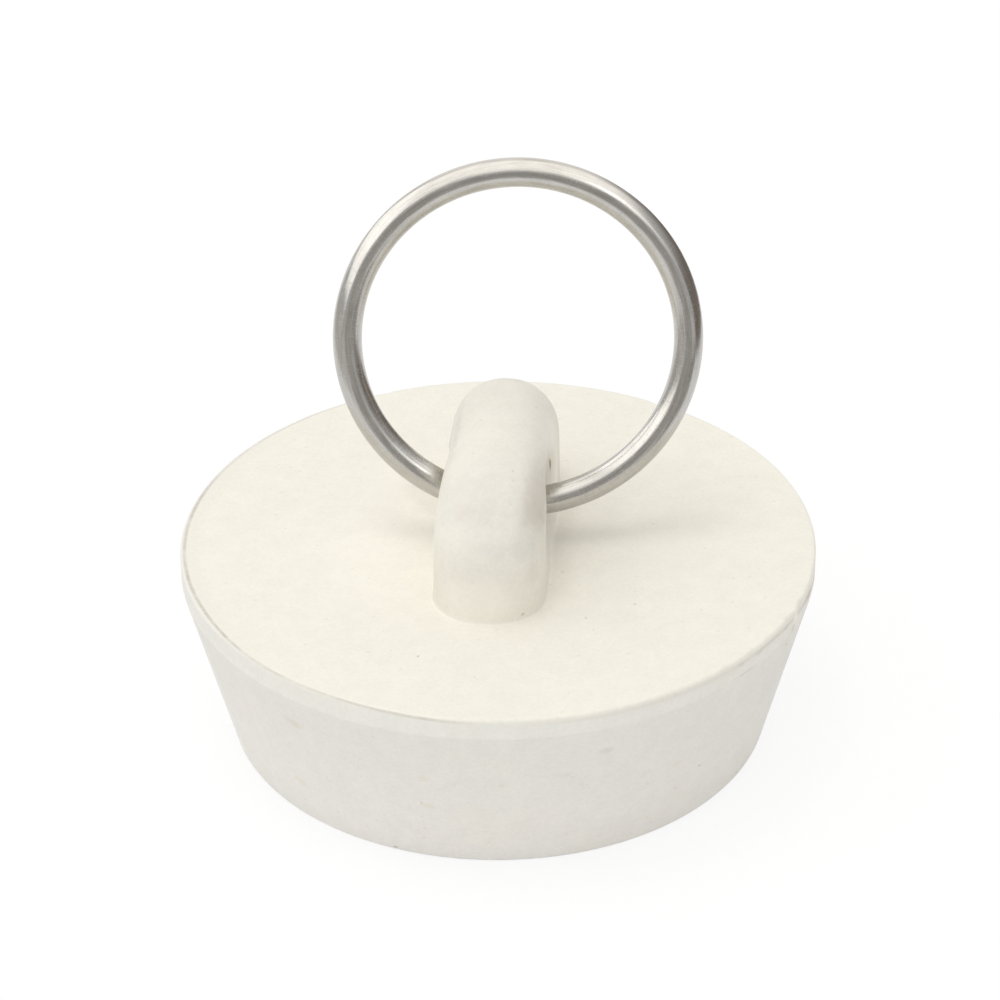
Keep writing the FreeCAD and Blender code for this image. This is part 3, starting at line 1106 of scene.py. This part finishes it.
    def _outside(self) -> list[tuple[float, float]]:
        """Draws the plug's outline from the top's joint with the bail to the sole.

        Returns:
            Points as radius and height.
        """
        rim, foot, top, soft = self.rim_radius, self.foot_radius, self.height, self.rim_foot_edge
        edge = rim - self.rim_edge
        radii = (self.joint_radius, *self.top_rings, edge - self.edge_lead)
        outline = [(radius, top) for radius in radii]
        outline += arc((edge, top - self.rim_edge), self.rim_edge, 90.0, 0.0, count=7)
        outline += [(rim, top - drop) for drop in self.band_drops]
        turn_height = self.band_foot + soft * math.tan(math.radians(self.lean / 2.0))
        outline += arc((rim - soft, turn_height), soft, 0.0, -self.lean, count=4)
        for share in np.linspace(*self.taper_span, self.taper_rings):
            outline.append((rim + (foot - rim) * share, self.band_foot * (1.0 - share)))
        return outline + arc((self.sole_radius, self.foot_edge), self.foot_edge, -self.lean, -90.0, count=6)

    def _underside(self) -> list[tuple[float, float]]:
        """Draws the plug's outline from the sole to the recess's roof.

        Returns:
            Points as radius and height.
        """
        mouth, roof, depth = self.recess_mouth, self.recess_roof, self.recess_depth
        edge, corner = self.recess_edge, self.recess_corner
        radii = (self.sole_radius - self.sole_lead, *self.sole_rings, mouth + edge + self.sole_lead)
        outline = [(radius, 0.0) for radius in radii]
        outline += arc((mouth + edge, edge), edge, 270.0, 180.0, count=5)
        outline += [(mouth + (roof - mouth) * share, depth * share) for share in self.recess_shares]
        outline += arc((roof - corner, depth - corner), corner, 0.0, 90.0, count=6)
        return outline + [(radius, depth) for radius in self.roof_rings]


def arc(
    centre: tuple[float, float], radius: float, start: float, end: float, count: int
) -> list[tuple[float, float]]:
    """Points along an arc in a profile, between two angles in degrees."""
    angles = np.radians(np.linspace(start, end, count))
    return [(centre[0] + radius * math.cos(angle), centre[1] + radius * math.sin(angle)) for angle in angles]


def place_piece(
    name: str, mesh: bpy.types.Mesh, node: str, body: str
) -> bpy.types.Object:
    """Makes a mesh a piece of the object.

    Args:
        name: The piece's name.
        mesh: Its mesh, with its place in it.
        node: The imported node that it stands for.
        body: The body that it moves with.

    Returns:
        The new object, at the origin.
    """
    piece = bpy.data.objects.new(name, mesh)
    bpy.context.scene.collection.objects.link(piece)
    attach(piece, body)
    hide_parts(node)
    log.info("%s: %d faces, rides on %s", name, len(mesh.polygons), body)
    return piece


@dataclass
class PullRing:
    """The wire ring, bent round and butted shut in the bail's eye, in millimetres and degrees."""

    name: str = "pull_ring_wire"
    node: str = "pull_ring"
    body: str = "ring"
    material_slot: str = "ring_steel"
    outer_diameter: float = 25.4
    wire_diameter: float = 2.0
    seam_gap: float = 0.15
    lean: float = 13.8
    yaw: float = 5.2
    side_shift: float = 1.5
    drop: float = 0.2
    eye_height: float = EYE_HEIGHT
    steps_along: int = 420
    steps_around: int = 56
    finish: SteelFinish = field(default_factory=SteelFinish)

    @property
    def radius(self) -> float:
        """The radius of the wire's centre line."""
        return (self.outer_diameter - self.wire_diameter) / 2.0

    def build(self) -> bpy.types.Object:
        """Builds the ring and sets it in the frame.

        Returns:
            The ring as one closed mesh.
        """
        material = self.finish.material()
        maker = bpy.data.objects.new("ring_maker", bpy.data.meshes.new("ring_maker"))
        bpy.context.scene.collection.objects.link(maker)
        modifier = maker.modifiers.new("bent_wire", "NODES")
        modifier.node_group = self._tree(material)
        sizes = {
            "Ring Radius": self.radius * MM,
            "Wire Radius": self.wire_diameter / 2.0 * MM,
            "Seam Angle": self.seam_gap / self.radius,
            "Steps Along": self.steps_along,
            "Steps Around": self.steps_around,
        }
        for item in modifier.node_group.interface.items_tree:
            if item.name in sizes:
                modifier[item.identifier] = sizes[item.name]
        graph = bpy.context.evaluated_depsgraph_get()
        mesh = bpy.data.meshes.new_from_object(maker.evaluated_get(graph))
        maker.modifiers.clear()
        bpy.data.objects.remove(maker)
        mesh.name = self.name
        mesh.transform(self._stance())
        return place_piece(self.name, mesh, self.node, self.body)

    def _stance(self) -> Matrix:
        """Stands the ring in the eye, leaning back, a little askew and to one side.

        Returns:
            The ring's place and turn, in metres.
        """
        rise = math.sqrt(self.radius ** 2 - self.side_shift ** 2) - self.drop
        eye = Matrix.Translation((0.0, 0.0, self.eye_height * MM))
        askew = Matrix.Rotation(math.radians(self.yaw), 4, "Z")
        leaning = Matrix.Rotation(math.radians(-self.lean), 4, "X")
        offset = Matrix.Translation((self.side_shift * MM, 0.0, rise * MM))
        upright = Matrix.Rotation(math.radians(90.0), 4, "X")
        return eye @ askew @ leaning @ offset @ upright

    def _tree(self, material: bpy.types.Material) -> bpy.types.NodeTree:
        """Sweeps the wire round an arc that leaves the seam open.

        Args:
            material: The wire's material.

        Returns:
            The Geometry Nodes tree.
        """
        tree = bpy.data.node_groups.new("bent_wire_ring", "GeometryNodeTree")
        graph = Graph(tree)
        for name in ("Ring Radius", "Wire Radius", "Seam Angle"):
            tree.interface.new_socket(name, in_out="INPUT", socket_type="NodeSocketFloat")
        for name in ("Steps Along", "Steps Around"):
            tree.interface.new_socket(name, in_out="INPUT", socket_type="NodeSocketInt")
        tree.interface.new_socket("Geometry", in_out="OUTPUT", socket_type="NodeSocketGeometry")
        given = graph.add("NodeGroupInput").outputs
        bottom = -math.pi / 2.0
        start = graph.maths("ADD", graph.product(given["Seam Angle"], 0.5), bottom)
        sweep = graph.maths("SUBTRACT", 2.0 * math.pi, given["Seam Angle"])
        path = graph.add("GeometryNodeCurveArc", {
            "Resolution": given["Steps Along"],
            "Radius": given["Ring Radius"],
            "Start Angle": start,
            "Sweep Angle": sweep,
        }, mode="RADIUS")
        run = graph.add("GeometryNodeSplineParameter").outputs["Length"]
        path_kept = graph.add("GeometryNodeStoreNamedAttribute", {
            "Geometry": path.outputs["Curve"],
            "Name": self.finish.run,
            "Value": graph.maths("DIVIDE", run, MM),
        }, data_type="FLOAT", domain="POINT")
        wire = graph.add("GeometryNodeCurvePrimitiveCircle", {
            "Resolution": given["Steps Around"],
            "Radius": given["Wire Radius"],
        }, mode="RADIUS")
        spot = graph.add("GeometryNodeInputPosition").outputs["Position"]
        wire_kept = graph.add("GeometryNodeStoreNamedAttribute", {
            "Geometry": wire.outputs["Curve"],
            "Name": self.finish.section,
            "Value": graph.vector("NORMALIZE", spot),
        }, data_type="FLOAT_VECTOR", domain="POINT")
        swept = graph.add("GeometryNodeCurveToMesh", {
            "Curve": path_kept.outputs["Geometry"],
            "Profile Curve": wire_kept.outputs["Geometry"],
            "Fill Caps": True,
        })
        smooth = graph.add("GeometryNodeSetShadeSmooth", {"Geometry": swept.outputs["Mesh"]})
        real = graph.add("GeometryNodeRealizeInstances", {"Geometry": smooth.outputs["Geometry"]})
        dressed = graph.add("GeometryNodeSetMaterial", {
            "Geometry": real.outputs["Geometry"],
            "Material": material,
        })
        graph.add("NodeGroupOutput", {"Geometry": dressed.outputs["Geometry"]})
        return tree


WARM_WHITE = (1.0, 0.985, 0.96)


@dataclass(frozen=True)
class Softbox:
    """A soft lamp: where it hangs and what it points at (m), its size, power, colour and spread (degrees)."""

    name: str
    place: Place
    target: Place
    width: float
    depth: float
    power: float
    colour: Colour
    spread: float = 180.0

    def build(self) -> bpy.types.Object:
        """Hangs the lamp.

        Returns:
            The lamp, which neither the camera nor reflections see.
        """
        lamp = bpy.data.lights.new(self.name, "AREA")
        lamp.shape = "RECTANGLE"
        lamp.size, lamp.size_y = self.width, self.depth
        lamp.energy = self.power
        lamp.color = self.colour
        lamp.spread = math.radians(self.spread)
        holder = bpy.data.objects.new(self.name, lamp)
        holder.location = self.place
        holder.rotation_euler = aim(self.place, self.target).to_euler()
        holder.visible_camera = False
        holder.visible_glossy = False
        bpy.context.scene.collection.objects.link(holder)
        return holder


@dataclass(frozen=True)
class Panel:
    """A panel that only reflections see.

    It hangs at a bearing (0 is the front, 90 the right) and a distance (m), reaches from one height to
    another and faces the stopper. The shares of it that fade out are given for its sides, top and foot.
    """

    name: str
    bearing: float
    distance: float
    width: float
    heights: tuple[float, float]
    colour: Colour
    side_fade: float = 0.2
    top_fade: float = 0.2
    foot_fade: float = 0.001

    def build(self) -> bpy.types.Object:
        """Hangs the panel.

        Returns:
            The panel, upright and facing the stopper.
        """
        low, high = self.heights
        tall = high - low
        half_size = (self.width / 2.0, tall / 2.0)
        finish = PanelFinish(self.name, self.colour, half_size, self.side_fade, self.top_fade, self.foot_fade)
        panel = flat_panel(self.name, self.width, tall, finish.material())
        turn = math.radians(self.bearing)
        place = (math.sin(turn) * self.distance, -math.cos(turn) * self.distance, (low + high) / 2.0)
        facing = aim(place, (0.0, 0.0, place[2]))
        panel.matrix_world = Matrix.Translation(place) @ facing.to_matrix().to_4x4()
        show_to_reflections(panel)
        return panel


@dataclass(frozen=True)
class RoofPanel:
    """A level panel overhead that only reflections see: its height and size (m), its colour and its fade."""

    name: str
    height: float
    size: float
    colour: Colour
    fade: float

    def build(self) -> bpy.types.Object:
        """Hangs the panel.

        Returns:
            The panel, level over the stopper.
        """
        half_size = (self.size / 2.0, self.size / 2.0)
        finish = PanelFinish(self.name, self.colour, half_size, self.fade, self.fade / 2.0, self.fade / 2.0)
        panel = flat_panel(self.name, self.size, self.size, finish.material())
        panel.location = (0.0, 0.0, self.height)
        show_to_reflections(panel)
        return panel


def show_to_reflections(panel: bpy.types.Object) -> None:
    """Hides a panel from everything but reflections."""
    for rays in ("camera", "diffuse", "shadow", "transmission"):
        setattr(panel, f"visible_{rays}", False)


def aim(place: Place, target: Place) -> Quaternion:
    """The turn that points a lamp, panel or camera from one place at another."""
    return (Vector(target) - Vector(place)).to_track_quat("-Z", "Y")


def flat_panel(name: str, width: float, depth: float, material: bpy.types.Material) -> bpy.types.Object:
    """Makes a level panel round the origin, for the stage.

    Args:
        name: The panel's name.
        width: Its size along X in metres.
        depth: Its size along Y in metres.
        material: Its material.

    Returns:
        The panel.
    """
    mesh = bpy.data.meshes.new(name)
    across, along = width / 2.0, depth / 2.0
    corners = [(-across, -along, 0.0), (across, -along, 0.0), (across, along, 0.0), (-across, along, 0.0)]
    mesh.from_pydata(corners, [], [(0, 1, 2, 3)])
    mesh.materials.append(material)
    panel = bpy.data.objects.new(name, mesh)
    bpy.context.scene.collection.objects.link(panel)
    return panel


@dataclass
class Studio:
    """The white sweep, soft lamps, panels and camera."""

    look_at: Place = (0.0, 0.0, TOP_HEIGHT * MM)
    distance: float = 0.25786
    azimuth: float = 5.2
    elevation: float = 32.287
    roll: float = -0.505
    lens: float = 132.55
    sensor: float = 36.0
    shift: tuple[float, float] = (0.0021, 0.03788)
    clip: tuple[float, float] = (0.01, 20.0)
    ambient: float = 0.814
    reflected_sky: float = 0.52
    floor_size: float = 6.0
    floor: FloorFinish = field(default_factory=FloorFinish)
    softboxes: Sequence[Softbox] = (
        Softbox("overhead_softbox", (-0.10, -0.02, 0.62), (0.0, 0.0, 0.01), 0.24, 0.24, 0.54, WARM_WHITE),
        Softbox("left_softbox", (-0.55, 0.05, 0.56), (0.0, 0.0, 0.015), 0.6, 0.4, 0.38, (1.0, 0.99, 0.97)),
        Softbox("front_left_fill", (-0.45, -0.92, 0.36), (0.0, 0.0, 0.015),
                0.9, 0.6, 1.05, (0.97, 0.985, 1.0)),
        Softbox("left_snoot", (-0.032, -0.055, 0.098), (-0.0060, 0.0002, TOP_HEIGHT * MM),
                0.008, 0.010, 4.6e-5, WARM_WHITE, 8.0),
    )
    panels: Sequence[Panel | RoofPanel] = (
        RoofPanel("roof_panel", 0.50, 1.60, (1.54, 1.50, 1.43), 0.65),
        Panel("back_panel", 180.0, 0.60, 0.90, (0.0, 0.70), (1.05, 1.02, 0.96), 0.3, 0.5),
        Panel("left_panel", -85.0, 0.42, 1.20, (0.08, 0.62), (1.80, 1.78, 1.73), 0.15, 0.25, 0.06),
        Panel("front_right_strip", 46.0, 0.40, 0.17, (0.06, 0.78), (2.7, 2.68, 2.62), 0.5, 0.2, 0.6),
        Panel("right_panel", 112.0, 0.10, 0.30, (0.0, 0.105), (0.23, 0.20, 0.175), 0.2, 0.65),
        Panel("front_panel", 6.0, 0.12, 0.139, (0.0, 0.115), (0.42, 0.405, 0.385), 0.35, 0.4),
        Panel("low_right_panel", 47.0, 0.062, 0.05, (0.0, 0.026), (0.40, 0.385, 0.36), 0.2, 0.1),
        Panel("low_left_panel", -70.0, 0.08, 0.18, (0.0, 0.032), (0.60, 0.58, 0.55), 0.1, 0.15),
    )

    def build(self) -> None:
        """Sets up the floor, lamps, panels, world, camera and view."""
        flat_panel("white_sweep", self.floor_size, self.floor_size, self.floor.material())
        for item in (*self.softboxes, *self.panels):
            item.build()
        self._world()
        self._camera()
        bpy.context.scene.view_settings.view_transform = "Standard"

    def _world(self) -> None:
        """Even light from all round, white to the camera and dimmer in reflections."""
        world = bpy.data.worlds.new("studio_light")
        world.use_nodes = True
        graph = Graph(world.node_tree)
        path = graph.add("ShaderNodeLightPath").outputs
        seen = graph.maths("MAXIMUM", path["Is Camera Ray"], path["Is Transmission Ray"])
        strength = graph.maths("ADD", graph.product(seen, 1.0 - self.ambient), self.ambient)
        dimmed = graph.product(path["Is Glossy Ray"], self.reflected_sky - self.ambient)
        graph.show(graph.add("ShaderNodeBackground", {
            "Color": (1.0, 1.0, 1.0, 1.0),
            "Strength": graph.maths("ADD", strength, dimmed),
        }), "ShaderNodeOutputWorld")
        bpy.context.scene.world = world

    def _camera(self) -> None:
        """The camera, at the viewing angle that the stopper is shown from."""
        data = bpy.data.cameras.new("camera")
        data.lens, data.sensor_width = self.lens, self.sensor
        data.shift_x, data.shift_y = self.shift
        data.clip_start, data.clip_end = self.clip
        turn, tilt = math.radians(self.azimuth), math.radians(self.elevation)
        back = Vector((math.sin(turn) * math.cos(tilt), -math.cos(turn) * math.cos(tilt), math.sin(tilt)))
        place = Vector(self.look_at) + back * self.distance
        camera = bpy.data.objects.new("camera", data)
        camera.rotation_mode = "QUATERNION"
        camera.location = place
        roll = Matrix.Rotation(math.radians(self.roll), 3, "Z").to_quaternion()
        camera.rotation_quaternion = aim(tuple(place), self.look_at) @ roll
        bpy.context.scene.collection.objects.link(camera)
        bpy.context.scene.camera = camera


def main() -> None:
    """Builds the pieces in order, then the studio."""
    logging.basicConfig(level=logging.INFO, format="%(name)s: %(message)s")
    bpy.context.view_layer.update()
    StopperMoulding().build()
    PullRing().build()
    Studio().build()


if __name__ == "__main__":
    main()
